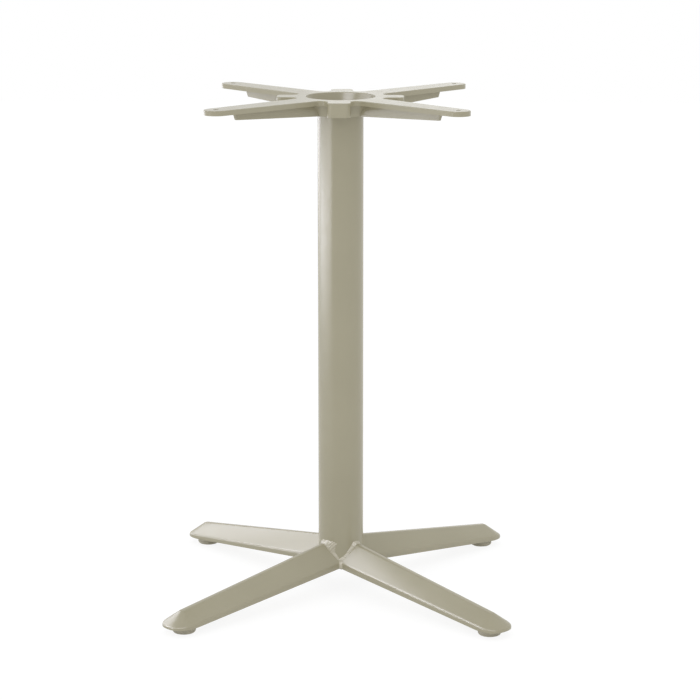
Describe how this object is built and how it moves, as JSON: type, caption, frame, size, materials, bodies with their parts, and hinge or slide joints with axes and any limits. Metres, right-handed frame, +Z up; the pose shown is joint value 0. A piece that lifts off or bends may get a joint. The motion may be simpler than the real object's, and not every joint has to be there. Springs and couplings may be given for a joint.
{
  "type": "four star table base",
  "caption": "Column table base: round tube on splayed pressed legs with levelling glides, and a ribbed star spider on top that screws to a table top.",
  "frame": {"origin": "on the floor under the column's axis", "axes": "+Z up along the column; legs and long arms lie on the diagonals between X and Y; -Y faces the viewer"},
  "size_m": [0.4828, 0.4828, 0.72],
  "materials": {
    "powder_coat": "satin",
    "glide_plastic": "matte",
    "zinc_steel": "satin"
  },
  "bodies": {
    "frame": {"column_tube": "powder_coat", "top_spider": "powder_coat", "leg_back_right": "powder_coat", "leg_back_left": "powder_coat", "leg_front_left": "powder_coat", "leg_front_right": "powder_coat", "weld_back_right": "powder_coat", "weld_back_left": "powder_coat", "weld_front_left": "powder_coat", "weld_front_right": "powder_coat", "glide_boss_back_right": "powder_coat", "glide_boss_back_left": "powder_coat", "glide_boss_front_left": "powder_coat", "glide_boss_front_right": "powder_coat", "column_top_plate": "zinc_steel", "spider_screws": "zinc_steel", "spider_washers": "zinc_steel"},
    "glide_back_right": {"glide_pad_back_right": "glide_plastic", "glide_stud_back_right": "zinc_steel"},
    "glide_back_left": {"glide_pad_back_left": "glide_plastic", "glide_stud_back_left": "zinc_steel"},
    "glide_front_left": {"glide_pad_front_left": "glide_plastic", "glide_stud_front_left": "zinc_steel"},
    "glide_front_right": {"glide_pad_front_right": "glide_plastic", "glide_stud_front_right": "zinc_steel"}
  },
  "joints": [
    {"name": "glide_height_back_right", "type": "slide", "parent": "frame", "child": "glide_back_right", "axis": [0, 0, -1], "range_m": [0, 0.008]},
    {"name": "glide_height_back_left", "type": "slide", "parent": "frame", "child": "glide_back_left", "axis": [0, 0, -1], "range_m": [0, 0.008]},
    {"name": "glide_height_front_left", "type": "slide", "parent": "frame", "child": "glide_front_left", "axis": [0, 0, -1], "range_m": [0, 0.008]},
    {"name": "glide_height_front_right", "type": "slide", "parent": "frame", "child": "glide_front_right", "axis": [0, 0, -1], "range_m": [0, 0.008]}
  ]
}
